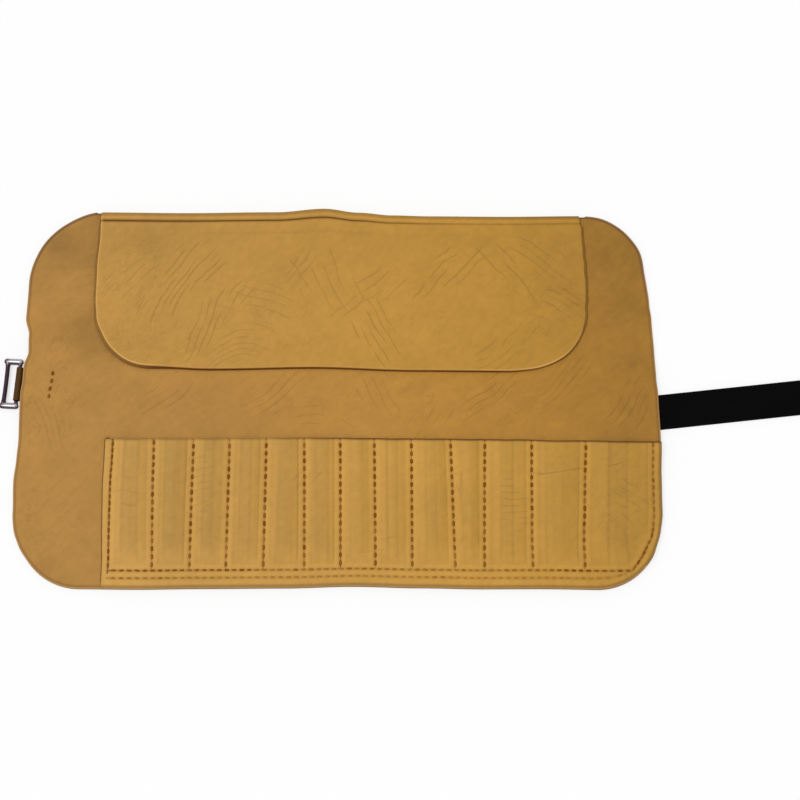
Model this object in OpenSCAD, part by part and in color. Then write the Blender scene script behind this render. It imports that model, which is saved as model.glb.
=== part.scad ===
// Roll-up pencil case, lying open: one leather sheet with a folded top flap,
// a row of sewn pockets, and a tie strap that passes through a metal ring.

/* [Sheet] */
// Length of the open case, left to right
case_w = 362; // [320:1:420]
// Depth of the open case, front to back
case_d = 218; // [200:1:250]
// Radius of the sheet's corners
corner_r = 43; // [20:1:46]
// Thickness of the sheet leather
sheet_t = 2; // [1.4:0.1:3]

/* [Flap] */
// Length of the flap along its fold
flap_w = 284; // [180:1:286]
// Depth of the flap, from the folded edge to its free edge
flap_d = 92.5; // [50:0.5:105]
// Radius of the flap's free corners
flap_r = 32; // [5:1:45]
// Gap under the closed flap
flap_gap = 0.3; // [0.2:0.1:1]

/* [Pockets] */
// Distance of the pocket panel's left edge from the sheet's left edge
pocket_inset = 48.5; // [40:0.5:70]
// Depth of the pocket panel, from its mouth to the sheet's front edge
pocket_d = 84; // [60:1:95]
// Thickness of the pocket leather
pocket_t = 1.4; // [1:0.1:2]
// Widths of the pockets from the left; the last pocket takes the rest
pocket_w = [23.5, 21.5, 20.5, 21, 22, 20, 19.5, 20.5, 23, 18, 26.5, 30]; // [16:0.5:32]
// Narrowest last pocket that is worth a seam of its own
last_pocket_min = 16; // [14:1:40]
// Clear height inside an open pocket
pocket_rise = 5; // [4.5:0.1:8]
// Length over which a pocket closes towards its toe
toe_l = 16; // [10:1:30]
// Half width of the flat land that a seam lies in
seam_land = 1.2; // [0.8:0.1:2]

/* [Stitching] */
// Distance of the outer seam from the leather's edge
hem = 4.5; // [3:0.5:8]
// Distance between the two seams along the front edge
seam_pair = 4.5; // [3:0.5:8]
// Distance from one stitch to the next
stitch_pitch = 4.5; // [3.2:0.1:8]
// Length of a stitch
stitch_l = 2.8; // [1.5:0.1:3.1]
// Width of the thread
thread_w = 1; // [0.4:0.1:1.2]
// Height that the thread stands proud
thread_h = 0.4; // [0.2:0.05:0.6]

/* [Strap] */
// Width of the strap
strap_w = 20; // [12:1:21]
// Thickness of the strap
strap_t = 2; // [1.4:0.1:3]
// Length of the strap, from the ring's bar to its tip
strap_l = 520; // [420:5:700]
// Length of the pointed tip
tip_l = 16; // [8:1:30]
// Length of the strap that is sewn to the sheet
anchor_l = 23; // [18:1:40]
// Distance of the anchor's stitches from the ring's bar
anchor_seam = 19.6; // [12:0.2:21]
// Distance of the strap's anchor behind the sheet's centre line
anchor_y = 6.4; // [-20:0.2:25]
// Angle of the anchor to the sheet's long side
anchor_lean = 3; // [0:0.5:5]
// Gap between the strap's free length and the sheet above it
strap_gap = 0.3; // [0.2:0.1:1]
// Places along the strap, from the ring's bar, where its heading is set
strap_bends = [120, 230, 345]; // [60:1:400]
// Headings of the strap at those places, in degrees from the case's length
strap_turns = [-4.2, -7, 6.2]; // [-8:0.1:8]

/* [Ring] */
// Radius of the ring's two long bars
bar_r = 1; // [0.9:0.1:1.5]
// Radius of the ring's two short shoulders
shoulder_r = 1.8; // [1.5:0.1:2.4]
// Distance between the ring's long bars
ring_d = 7.2; // [6.9:0.1:14]
// Length of the shoulders past the outer bar
shoulder_past = 0.5; // [0:0.1:2]
// Distance between the ring's shoulders, centre to centre
ring_w = 26; // [25.5:0.5:34]
// Play of the ring's bar in the strap's loop
bar_play = 0.1; // [0.05:0.01:0.2]
// Thickness of the skived leather that turns round the bar
loop_t = 0.75; // [0.6:0.05:1.2]

/* [Hidden] */
$fn = 64;
eps = 0.01;
running_gap = 0.3;

// Heights of the layers, from the surface that the case lies on
sheet_z = strap_t + strap_gap;
sheet_top = sheet_z + sheet_t;
flap_z = sheet_top + flap_gap;
pocket_top = sheet_top + pocket_t;

// The sheet turns over the fold's axis, half-way between the sheet and the flap
fold_r = sheet_t + flap_gap / 2;
fold_y = case_d / 2 - fold_r;
fold_z = sheet_top + flap_gap / 2;
fold_leg = flap_gap / 2;

// Pocket seams
mouth_y = pocket_d - case_d / 2;
pocket_left = pocket_inset - case_w / 2;
first_seam = pocket_left + hem;
last_seam = case_w / 2 - hem;
corner_x = case_w / 2 - corner_r;
corner_y = corner_r - case_d / 2;
outer_seam_y = hem - case_d / 2;
base_seam_y = outer_seam_y + seam_pair;
function sum_to(list, n) = n < 1 ? 0 : list[n - 1] + sum_to(list, n - 1);
dividers = [for (i = [1:len(pocket_w)])
    let (x = first_seam + sum_to(pocket_w, i))
    if (x < last_seam - last_pocket_min) x];
seams = concat([first_seam], dividers, [last_seam]);

// Strap and ring
loop_r = bar_r + bar_play + loop_t;
bar_z = loop_r;
loop_reach = loop_r + strap_w / 2 * tan(anchor_lean);
shoulder_reach = shoulder_r + ring_w / 2 * tan(anchor_lean);
bar_x = -case_w / 2 - max(loop_reach, shoulder_reach) - running_gap;
ring_l = ring_d + shoulder_past;
ring_droop = asin((bar_z - shoulder_r) / ring_l);
tail_start = anchor_l + running_gap / 2;

// Headings of the strap's centre line, by distance from the ring's bar
strap_headings = concat(
    [[0, -anchor_lean], [anchor_l, -anchor_lean]],
    [for (i = [0:len(strap_bends) - 1]) [strap_bends[i], strap_turns[i]]]
);
strap_step = 10;

// ---- Outlines ----

module rounded_rectangle(w, d, r) {
    hull()
        for (x = [-1, 1], y = [-1, 1])
            translate([x * (w / 2 - r), y * (d / 2 - r)]) circle(r);
}

// ---- Main sheet and flap ----

module main_panel() {
    color("peru")
    translate([0, 0, sheet_z])
    linear_extrude(sheet_t)
    difference() {
        rounded_rectangle(case_w, case_d, corner_r);
        translate([-flap_w / 2 - running_gap, fold_y - fold_leg])
            square([flap_w + 2 * running_gap, case_d]);
    }
}

// The rolled edge that joins the sheet to its flap
module flap_fold() {
    color("burlywood")
    translate([-flap_w / 2, fold_y, fold_z])
    rotate([90, 0, 90])
    linear_extrude(flap_w)
    difference() {
        union() {
            intersection() {
                circle(fold_r);
                translate([0, -fold_r]) square([fold_r, 2 * fold_r]);
            }
            translate([-fold_leg, -fold_r]) square([fold_leg + eps, 2 * fold_r]);
        }
        circle(flap_gap / 2);
        translate([-fold_r, -flap_gap / 2]) square([fold_r, flap_gap]);
    }
}

module top_flap() {
    color("burlywood")
    translate([0, 0, flap_z])
    linear_extrude(sheet_t)
    hull() {
        for (x = [-1, 1])
            translate([x * (flap_w / 2 - flap_r), case_d / 2 - flap_d + flap_r]) circle(flap_r);
        translate([-flap_w / 2, fold_y - fold_leg - 1]) square([flap_w, 1]);
    }
}

// ---- Pocket panel ----

// The front edge of the leather at x, moved in by an inset
function front_y(x, inset) =
    x < corner_x ? inset - case_d / 2
    : corner_y - sqrt(max(0, pow(corner_r - inset, 2) - pow(x - corner_x, 2)));

// Where a pocket's hollow ends, above both front seams
function toe_y(x) = max(base_seam_y, front_y(x, hem)) + seam_land;

// Columns of the panel as [x, share of the full rise]
arch_steps = 7;
margin_steps = 5;
right_land = last_seam + seam_land;
right_angle = asin((right_land - corner_x) / corner_r);
pocket_columns = concat(
    [[pocket_left, 0]],
    [for (i = [0:len(seams) - 2])
        let (a = seams[i] + seam_land, b = seams[i + 1] - seam_land)
        for (k = [0:arch_steps])
            [a + (b - a) * k / arch_steps, sin(180 * k / arch_steps)]],
    [for (k = [0:margin_steps])
        let (angle = right_angle + (90 - right_angle) * k / margin_steps)
        [corner_x + corner_r * sin(angle), 0]]
);

// Rows from the mouth to the front edge: how open the pocket is at each
toe_rows = [1, 0.88, 0.6, 0.25, 0];
row_gap = 0.5;
function row_y(x, row) =
    row == 0 ? mouth_y
    : row == len(toe_rows) + 1 ? front_y(x, 0)
    : max(toe_y(x) + toe_l * (len(toe_rows) - row) / (len(toe_rows) - 1),
          row_y(x, row + 1) + row_gap);
function row_rise(row) =
    row == 0 ? 1
    : row > len(toe_rows) ? 0
    : toe_rows[row - 1];

module pocket_panel() {
    rows = len(toe_rows) + 2;
    columns = len(pocket_columns);
    layer = rows * columns;
    surface = [for (c = pocket_columns, r = [0:rows - 1])
        [c[0], row_y(c[0], r), c[1] * row_rise(r) * pocket_rise]];
    function at(c, r, side) = side * layer + c * rows + r;
    under = [for (c = [0:columns - 2], r = [0:rows - 2])
        each [[at(c, r, 0), at(c + 1, r, 0), at(c + 1, r + 1, 0)],
              [at(c, r, 0), at(c + 1, r + 1, 0), at(c, r + 1, 0)]]];
    over = [for (f = under) [f[2] + layer, f[1] + layer, f[0] + layer]];
    mouth_and_front = [for (c = [0:columns - 2])
        each [[at(c, 0, 0), at(c, 0, 1), at(c + 1, 0, 1)],
              [at(c, 0, 0), at(c + 1, 0, 1), at(c + 1, 0, 0)],
              [at(c, rows - 1, 0), at(c + 1, rows - 1, 1), at(c, rows - 1, 1)],
              [at(c, rows - 1, 0), at(c + 1, rows - 1, 0), at(c + 1, rows - 1, 1)]]];
    sides = [for (r = [0:rows - 2])
        each [[at(0, r, 0), at(0, r + 1, 1), at(0, r, 1)],
              [at(0, r, 0), at(0, r + 1, 0), at(0, r + 1, 1)],
              [at(columns - 1, r, 0), at(columns - 1, r, 1), at(columns - 1, r + 1, 1)],
              [at(columns - 1, r, 0), at(columns - 1, r + 1, 1), at(columns - 1, r + 1, 0)]]];
    color("goldenrod")
    translate([0, 0, sheet_top])
    polyhedron(
        points = concat(surface, [for (p = surface) p + [0, 0, pocket_t]]),
        faces = concat(under, over, mouth_and_front, sides)
    );
}

// ---- Stitching ----

module stitch() {
    translate([-stitch_l / 2, -thread_w / 2, 0]) cube([stitch_l, thread_w, thread_h]);
}

// Stitches in a straight row between two points, evenly spaced
module stitch_row(from, to) {
    run = to - from;
    count = floor(norm(run) / stitch_pitch);
    for (i = [0:count - 1])
        translate(from + run * (i + 0.5) / count)
        rotate([0, 0, atan2(run[1], run[0])])
        stitch();
}

module divider_stitches() {
    color("saddlebrown")
    translate([0, 0, pocket_top])
    for (x = dividers)
        stitch_row([x, mouth_y], [x, base_seam_y + thread_w]);
}

// The outer seam, down the left edge, along the front and round the corner
module edge_stitches() {
    arc_r = corner_r - hem;
    arc_count = round(arc_r * PI / 2 / stitch_pitch);
    color("saddlebrown")
    translate([0, 0, pocket_top]) {
        stitch_row([first_seam, mouth_y], [first_seam, outer_seam_y + thread_w]);
        stitch_row([first_seam, outer_seam_y], [corner_x, outer_seam_y]);
        for (i = [0:arc_count - 1])
            translate([corner_x, corner_y, 0])
            rotate([0, 0, -90 + 90 * (i + 0.5) / arc_count])
            translate([arc_r, 0, 0])
            rotate([0, 0, 90])
            stitch();
        stitch_row([last_seam, corner_y], [last_seam, mouth_y]);
    }
}

// The inner seam along the front, up to the outer seam's corner
module base_stitches() {
    reach = sqrt(max(0, pow(corner_r - hem - thread_w, 2) - pow(corner_y - base_seam_y, 2)));
    color("saddlebrown")
    translate([0, 0, pocket_top])
    stitch_row([first_seam + thread_w, base_seam_y], [corner_x + reach, base_seam_y]);
}

// ---- Strap and ring ----

module at_ring_bar() {
    translate([bar_x, anchor_y, 0]) rotate([0, 0, -anchor_lean]) children();
}

// The sewn end of the strap, turned round the ring's bar
module strap_anchor() {
    color([0.1, 0.1, 0.1])
    at_ring_bar()
    translate([0, strap_w / 2, 0])
    rotate([90, 0, 0])
    linear_extrude(strap_w)
    difference() {
        union() {
            translate([0, bar_z]) circle(loop_r);
            square([anchor_l - running_gap / 2, strap_t]);
        }
        translate([0, bar_z]) circle(bar_r + bar_play);
    }
}

module anchor_stitches() {
    color("saddlebrown")
    translate([0, 0, sheet_top])
    at_ring_bar()
    stitch_row([anchor_seam, -strap_w / 2 + thread_w], [anchor_seam, strap_w / 2 - thread_w]);
}

// The strap's centre line, as [x, y, heading] from the ring's bar outwards
function heading_at(s) = lookup(s, strap_headings);
function line_to(s) =
    s <= tail_start ? [bar_x + tail_start * cos(anchor_lean),
                       anchor_y - tail_start * sin(anchor_lean)]
    : let (back = min(strap_step, s - tail_start), h = heading_at(s - back / 2))
        line_to(s - back) + back * [cos(h), sin(h)];
function beside(s, side) =
    line_to(s) + side * strap_w / 2 * [-sin(heading_at(s)), cos(heading_at(s))];

module strap_tail() {
    shank_l = strap_l - tip_l;
    count = ceil((shank_l - tail_start) / strap_step);
    stops = [for (i = [0:count]) tail_start + (shank_l - tail_start) * i / count];
    tip = line_to(strap_l);
    shoulder = line_to(strap_l - tip_l / 3);
    across = [-sin(heading_at(strap_l)), cos(heading_at(strap_l))] * strap_w / 2;
    color([0.1, 0.1, 0.1])
    linear_extrude(strap_t)
    polygon(concat(
        [for (s = stops) beside(s, -1)],
        [shoulder - across * 0.7, tip - across * 0.15, tip + across * 0.15,
         shoulder + across * 0.7],
        [for (i = [count:-1:0]) beside(stops[i], 1)]
    ));
}

module capsule(r, length) {
    rotate([0, -90, 0])
    rotate_extrude()
    difference() {
        hull() {
            circle(r);
            translate([0, length]) circle(r);
        }
        translate([-2 * r, -2 * r]) square([2 * r, length + 4 * r]);
    }
}

// A rectangular ring: two long bars between two thicker shoulders
module ring() {
    color("silver")
    at_ring_bar()
    translate([0, 0, bar_z])
    rotate([0, -ring_droop, 0]) {
        for (x = [0, -ring_d])
            translate([x, ring_w / 2, 0]) rotate([90, 0, 0]) cylinder(r = bar_r, h = ring_w);
        for (y = [-1, 1])
            translate([0, y * ring_w / 2, 0]) capsule(shoulder_r, ring_l);
    }
}

main_panel();
flap_fold();
top_flap();
pocket_panel();
divider_stitches();
edge_stitches();
base_stitches();
strap_anchor();
anchor_stitches();
strap_tail();
ring();
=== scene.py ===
import math

import bpy
import numpy as np
from mathutils import Matrix, Vector


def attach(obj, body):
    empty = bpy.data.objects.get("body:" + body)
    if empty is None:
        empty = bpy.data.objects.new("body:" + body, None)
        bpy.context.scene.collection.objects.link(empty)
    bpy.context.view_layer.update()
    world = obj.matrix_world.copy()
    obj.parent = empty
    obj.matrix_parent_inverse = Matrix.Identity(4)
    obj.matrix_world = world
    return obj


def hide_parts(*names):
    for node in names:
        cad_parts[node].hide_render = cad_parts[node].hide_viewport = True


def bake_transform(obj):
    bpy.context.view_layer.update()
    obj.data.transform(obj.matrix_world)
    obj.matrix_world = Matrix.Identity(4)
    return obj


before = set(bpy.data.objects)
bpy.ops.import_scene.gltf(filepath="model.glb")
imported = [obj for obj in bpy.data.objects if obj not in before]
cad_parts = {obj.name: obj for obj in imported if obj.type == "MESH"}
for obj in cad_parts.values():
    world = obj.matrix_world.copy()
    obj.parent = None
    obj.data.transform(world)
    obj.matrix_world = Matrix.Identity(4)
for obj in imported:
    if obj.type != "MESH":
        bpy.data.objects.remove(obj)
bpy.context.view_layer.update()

# Lengths are written in millimetres in the CAD frame: the origin is the middle of the
# open sheet on the table, +X runs towards the strap's tip and +Y towards the fold.
MM = 0.001
random = np.random.default_rng(12)
scene = bpy.context.scene

# ---- Sizes as in part.scad, but FRONT_R and STITCH_PITCH follow the photo ----

HALF_W, HALF_D = 181, 109
REAR_R, FRONT_R = 43, 38
SHEET_T = 2
FLAP_HALF_W, FLAP_FRONT, FLAP_R = 142, 16.5, 32
FOLD_Y, FOLD_Z, FOLD_R = 106.85, 4.45, 2.15
POCKET_LEFT, MOUTH_Y = -132.5, -25
POCKET_T = 1.4
POCKET_W = [23.5, 21.5, 20.5, 21, 22, 20, 19.5, 20.5, 23, 18, 26.5, 30]
FIRST_SEAM, LAST_SEAM = -128, 176.5
OUTER_SEAM, BASE_SEAM = -103.4, -99.4
OUTER_HEM = 5.6
STITCH_PITCH = 4.2
STRAP_W, STRAP_T, STRAP_L, TIP_L = 20, 2, 520, 16
BAR = np.array([-183.781, 6.4, 1.85])
LEAN = math.radians(3)
BAR_R, LOOP_T, BAR_PLAY = 1, 0.75, 0.1
ANCHOR_SEAM = 19.6
STRAP_HEADINGS = [(0, -3), (23, -3), (120, -4.2), (230, -7), (345, 6.2), (520, 6.2)]
SHOULDER_R, SHOULDER_PAST, RING_D, RING_W = 1.8, 0.5, 7.2, 26
RING_DROOP = math.asin((BAR[2] - SHOULDER_R) / (RING_D + SHOULDER_PAST))

SEAMS = np.array([FIRST_SEAM, *(FIRST_SEAM + np.cumsum(POCKET_W)), LAST_SEAM])

# ---- The used leather's shape ----

# How far each edge strays from the drawn outline, as (place along it, distance)
RIGHT_EDGE = [(-109, 1), (-94, 0.2), (-85, -1), (-77, -0.9), (-67, 0), (-45, 0.3),
              (-27, 0.9), (0, 0.5), (9, -0.1), (25, -0.4), (45, -1.1), (54, -2),
              (72, -3.5), (90, -1), (109, 0.8)]
LEFT_EDGE = [(-109, 0.8), (-94, 1.2), (-85, 0.3), (-77, -0.5), (-68, -1.1), (-50, -1.9),
             (-37, -1), (-26, -0.4), (-12, -0.6), (0, -0.8), (9, 0), (16, 0.1), (25, 2.5),
             (35, 2.2), (46, -0.8), (62, -0.5), (80, -0.6), (95, -1.2), (109, -1.5)]
REAR_EDGE = [(-181, 0), (-160, 0.8), (-143, 1.4), (-91, 0.9), (-38, 1.5), (-10, 3.8),
             (10, 1.2), (30, -0.6), (53, -1.2), (100, -1.5), (139, -1.2), (155, 0), (181, 0)]
FRONT_EDGE = [(-181, -1.4), (-145, -1.3), (-110, -1.6), (-75, -1.2), (-30, -0.9), (8, 0.1),
              (46, -0.8), (80, -1.4), (112, -1.3), (150, -1.8), (181, -1.4)]
FLAP_RIGHT = [(10, -0.4), (38, -0.1), (50, 0.4), (58, 1.2), (68, 1.8), (76, 1.3), (86, -0.2),
              (92, -0.7), (98, -1.2), (107, -2.6)]
FLAP_LEFT = [(10, 1.8), (34, 1.9), (46, 1.8), (58, 0.6), (70, 0.6), (78, 0.6), (94, 1.8),
             (107, 1.8)]
FLAP_FREE = [(-142, -0.4), (-116, -0.6), (-75, -2.3), (-15, -1.3), (43, -2.9), (96, -3.2),
             (125, -0.8), (142, 0)]
# How far each pocket seam strays at the mouth and at its foot, and the panel's left edge
SEAM_STRAY = [(0.8, 0.7), (0.3, 1.7), (1.2, 1), (1, 0.7), (0.7, 0.4), (0, 1.1), (0.3, 1.1),
              (0, 1), (0.4, 0.8), (-0.7, 1.7), (0.7, -0.3), (0.4, -0.1), (0.8, -1.5), (0, 0)]
PANEL_LEFT_STRAY = (1, 2)
MOUTH = [(-132, -1.2), (-80, -1.2), (-15, -0.6), (46, -1.2), (96, -1.7), (125, -2.3), (181, -2.9)]

# Gaps under the sheet, over the strap, under the flap and under the pocket panel
TABLE_GAP, STRAP_GAP, LAYER_GAP, PANEL_GAP = 0.35, 0.3, 0.25, 0.15
# How far the fold lifts the sheet, and how far beside the strap the sheet comes down again
REAR_LIFT = 0.85
DRAPE_FROM, DRAPE_TO = STRAP_W / 2 + 1, STRAP_W / 2 + 34
# The pucker in the sheet's left edge: its height and how far it runs in from the edge
PUCKER, PUCKER_IN = 1.9, 34


def through(table, at):
    """The value at a place on a smooth curve through (place, value) pairs."""
    places, values = np.array(table, float).T
    i = np.clip(np.searchsorted(places, at) - 1, 0, len(places) - 2)
    t = np.clip((at - places[i]) / (places[i + 1] - places[i]), 0, 1)
    return values[i] + (values[i + 1] - values[i]) * t * t * (3 - 2 * t)


def rise(low, high, at):
    """0 up to low, 1 from high, and smooth between them."""
    t = np.clip((at - low) / (high - low), 0, 1)
    return t * t * (3 - 2 * t)


def around(distance, reach):
    """1 at no distance, falling softly to almost 0 at twice the reach."""
    return np.exp(-((distance / reach) ** 2))


def warp(x, y):
    """Where a point of the drawn outline lies on the used leather."""
    right, left = (np.clip(way * x / HALF_W, 0, 1.1) ** 3 for way in (1, -1))
    rear, front = (np.clip(way * y / HALF_D, 0, 1.1) ** 4 for way in (1, -1))
    return (x + right * through(RIGHT_EDGE, y) + left * through(LEFT_EDGE, y),
            y + rear * through(REAR_EDGE, x) + front * through(FRONT_EDGE, x))


def panel_warp(x, y):
    """The pocket panel's own strays, on top of the sheet's."""
    at = np.hstack([[POCKET_LEFT], SEAMS])
    mouth, foot = np.array([PANEL_LEFT_STRAY, *SEAM_STRAY]).T
    down = np.clip((MOUTH_Y - y) / (MOUTH_Y - BASE_SEAM), 0, 1.06)
    wx, wy = warp(x, y)
    return (wx + np.interp(x, at, mouth) * (1 - down) + np.interp(x, at, foot) * down,
            wy + through(MOUTH, x) * (1 - down) ** 2)


def strap_heading(s):
    places, degrees = zip(*STRAP_HEADINGS)
    return np.radians(np.interp(s, places, degrees))


def strap_centre(step=4):
    """The strap's centre line from the ring's bar to its tip, as distances and points."""
    s = np.arange(0, STRAP_L + step / 2, step)
    heading = strap_heading(s[:-1] + step / 2)
    runs = np.stack([np.cos(heading), np.sin(heading)], 1) * step
    return s, BAR[:2] + np.vstack([[0, 0], np.cumsum(runs, 0)])


STRAP_S, STRAP_LINE = strap_centre()


def sheet_under(x, y):
    """Height of the sheet's underside: on the table, and raised over the strap."""
    beside = np.abs(y - np.interp(x, STRAP_LINE[:, 0], STRAP_LINE[:, 1]))
    over_strap = (STRAP_T + STRAP_GAP - TABLE_GAP) * (1 - rise(DRAPE_FROM, DRAPE_TO, beside))
    waves = 0.35 * (1 + np.sin(x / 31 + y / 47)) * (1 + np.cos(x / 53 - y / 29 + 1)) / 2
    from_left = x + HALF_W
    pucker = PUCKER * np.exp(-from_left / PUCKER_IN) * around(y - 33 - 0.25 * from_left, 9)
    fold_lift = REAR_LIFT * rise(72, 104, y)
    return TABLE_GAP + over_strap + 0.5 * waves + pucker + fold_lift


# ---- Mesh building ----


def add_object(name, data):
    made = bpy.data.objects.new(name, data)
    scene.collection.objects.link(made)
    return made


def add_mesh(name, points, faces, material, attributes):
    """A smooth-shaded mesh object, with its points given in millimetres."""
    mesh = bpy.data.meshes.new(name)
    mesh.from_pydata((points * MM).tolist(), [], faces.tolist())
    for key, values in attributes.items():
        kind, field = ("FLOAT_VECTOR", "vector") if values.ndim == 2 else ("FLOAT", "value")
        made = mesh.attributes.new(key, kind, "POINT")
        made.data.foreach_set(field, values.astype(np.float32).ravel())
    mesh.shade_smooth()
    mesh.materials.append(material)
    piece = add_object(name, mesh)
    return piece


def unit(vectors):
    return vectors / np.maximum(np.linalg.norm(vectors, axis=-1, keepdims=True), 1e-9)


# Outline of a cut edge, from its upper corner to its lower one. Each line of points has its
# distance out and its height, as shares of the edge's rounding and of half the thickness,
# its share of the lip, how far it takes the dark edge colour (burnish, with painted shade
# on the lower side) and how bright its painted highlight is.
RIM = [(0.42, 0.93, 0, 0, 0.6), (0.76, 0.76, 0, 0.1, 1), (0.95, 0.5, 0, 0.4, 0.5),
       (1.02, 0.2, 0, 0.85, 0), (1.1, -0.15, 0.2, 1, 0), (1.16, -0.5, 0.75, 1, 0),
       (1.18, -0.76, 1, 1, 0), (0.95, -0.96, 0.9, 1, 0)]


def at_height(places, z):
    return np.column_stack([places, np.broadcast_to(z, len(places))])


def slab(name, middle, flat, thickness, round_by, material, looks):
    """A closed piece of leather round a grid of mid-surface points, with rounded cut edges.

    middle is rows x columns x 3, seen from above with columns along +X and rows along +Y.
    flat holds the same points on the leather as cut, for the materials to follow. looks
    has further values for each of them: tone (with painted light and shade in it), stain
    (painted shade in grooves and seams, and the strap's brown end), edge (the dark edge
    colour: burnish and painted shade), worn (how bright the rim's painted highlight is),
    dark (how dark the rim's lower side is, with edge colour and painted shade), lip (how far
    the rim's lower corner stands out, as a share of its rounding) and under (the same as
    stain, for the underside)."""
    size, count = middle.shape[:2], middle[..., 0].size
    looks = {"tone": 0, "painted_shade_and_brown": 0, "edge": 0, "wear_and_highlight": 1, "dark": 1, "lip": 0,
             "under": 0, **looks}
    looks = {key: np.broadcast_to(values, size).ravel() for key, values in looks.items()}
    normal = unit(np.cross(np.gradient(middle, axis=1), np.gradient(middle, axis=0)))
    middle, normal = middle.reshape(-1, 3), normal.reshape(-1, 3)
    half = np.broadcast_to(thickness / 2, size).reshape(-1, 1)
    i = np.arange(count).reshape(size)
    loop = np.hstack([i[0, :-1], i[:-1, -1], i[-1, :0:-1], i[:0:-1, 0]])

    centre, up, depth = middle[loop], normal[loop], half[loop]
    out = unit(np.cross(np.roll(centre, -1, 0) - np.roll(centre, 1, 0), up)) * round_by
    rims = [centre + out * (far + looks["lip"][loop][:, None] * share) + up * depth * height
            for far, height, share, *_ in RIM]

    points = np.vstack([middle + normal * half, middle - normal * half, *rims])
    upper = np.stack([i[:-1, :-1], i[:-1, 1:], i[1:, 1:], i[1:, :-1]], -1).reshape(-1, 4)
    lower = (upper + count)[:, ::-1]
    rings = [loop, *(2 * count + k * len(loop) + np.arange(len(loop)) for k in range(len(rims))),
             loop + count]
    sides = [np.stack([b, np.roll(b, -1), np.roll(a, -1), a], 1)
             for a, b in zip(rings[:-1], rings[1:])]
    faces = np.vstack([upper, lower, *sides])

    places = flat.reshape(-1, 2)
    rest = np.vstack([
        at_height(places, 0), at_height(places, -SHEET_T),
        *(at_height(places[loop], (height - 1) * SHEET_T / 2) for _, height, *_ in RIM),
    ])
    none = np.zeros(count)
    rim = {key: values[loop] for key, values in looks.items()}
    # The top's outer row takes a little of the rim's painted highlight.
    shine = none.copy()
    shine[loop] = 0.1 * rim["wear_and_highlight"]
    layers = {
        "tone": [looks["tone"], none, *([rim["tone"]] * len(RIM))],
        "painted_shade_and_brown": [looks["painted_shade_and_brown"], looks["under"], *([rim["painted_shade_and_brown"]] * len(RIM))],
        "edge": [looks["edge"], none,
                 *(np.maximum(rim["edge"], dark * rim["dark"]) for *_, dark, _ in RIM)],
        "shine": [shine, none, *(bright * rim["wear_and_highlight"] for *_, bright in RIM)],
    }
    return add_mesh(name, points, faces, material,
                    {"rest": rest * MM, **{key: np.hstack(layers[key]) for key in layers}})


def tube(path, radii, sides, squeeze=1):
    """Points and faces of a tube along a path, squeezed to that share of its height."""
    tangent = unit(np.gradient(path, axis=0))
    side = unit(np.cross(tangent, [0, 0, 1]))
    up = np.cross(side, tangent)
    turn = np.linspace(0, 2 * math.pi, sides, endpoint=False)
    ring = (np.cos(turn)[None, :, None] * side[:, None]
            + squeeze * np.sin(turn)[None, :, None] * up[:, None])
    points = (path[:, None] + ring * radii[:, None, None]).reshape(-1, 3)
    i = np.arange(len(points)).reshape(-1, sides)
    first, second = i[:-1], i[1:]
    faces = np.stack([first, second, np.roll(second, -1, 1), np.roll(first, -1, 1)], -1)
    return points, faces.reshape(-1, 4)


def merged(parts):
    """Points and faces of several meshes as those of one."""
    starts = np.cumsum([0, *(len(points) for points, _ in parts)])
    return (np.vstack([points for points, _ in parts]),
            np.vstack([faces + start for (_, faces), start in zip(parts, starts)]))


# ---- Materials ----


def srgb(*colour):
    """A colour as it shows on screen, 0 to 255, as the shader takes it."""
    values = np.array(colour) / 255
    linear = np.where(values <= 0.04045, values / 12.92, ((values + 0.055) / 1.055) ** 2.4)
    return (*linear.tolist(), 1)


SHEET_HIDE, FLAP_HIDE, POCKET_HIDE = srgb(173, 125, 52), srgb(183, 136, 57), srgb(190, 143, 64)
# The dark brown below is painted shade in grooves and seams, and the pale one a painted highlight
# on rims. The cut edge colours are burnish with painted shade on their lower side.
PAINTED_SHADE_BROWN, HIGHLIGHT_PALE = srgb(92, 50, 8), srgb(224, 173, 104)
EDGE_AND_SHADE, FLAP_EDGE_AND_SHADE = srgb(96, 68, 44), srgb(90, 46, 0)
STRAP_BLACK, STRAP_EDGE, STRAP_END_BROWN = srgb(6, 6, 6), srgb(5, 4, 6), srgb(86, 60, 36)
THREAD_BROWN, THREAD_FADED = srgb(124, 72, 0), srgb(174, 126, 54)
# Dark and bright nickel, mixed as a painted reflection on the ring
NICKEL_DARK, NICKEL_BRIGHT = srgb(58, 44, 52), srgb(168, 162, 165)
WHITE = (1, 1, 1, 1)
# Width of a crease in mm, and how much painted shade darkens it
CREASE_W, CREASE_TONE = 0.75, -0.2


def feed(tree, socket, value):
    """Links an output to the socket, or writes a value on it."""
    if isinstance(value, bpy.types.NodeSocket):
        tree.links.new(value, socket)
    else:
        socket.default_value = value


def add_node(tree, kind, inputs, **settings):
    made = tree.nodes.new("ShaderNode" + kind)
    for key, value in settings.items():
        setattr(made, key, value)
    for key, value in inputs.items():
        feed(tree, made.inputs[key], value)
    return made


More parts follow.
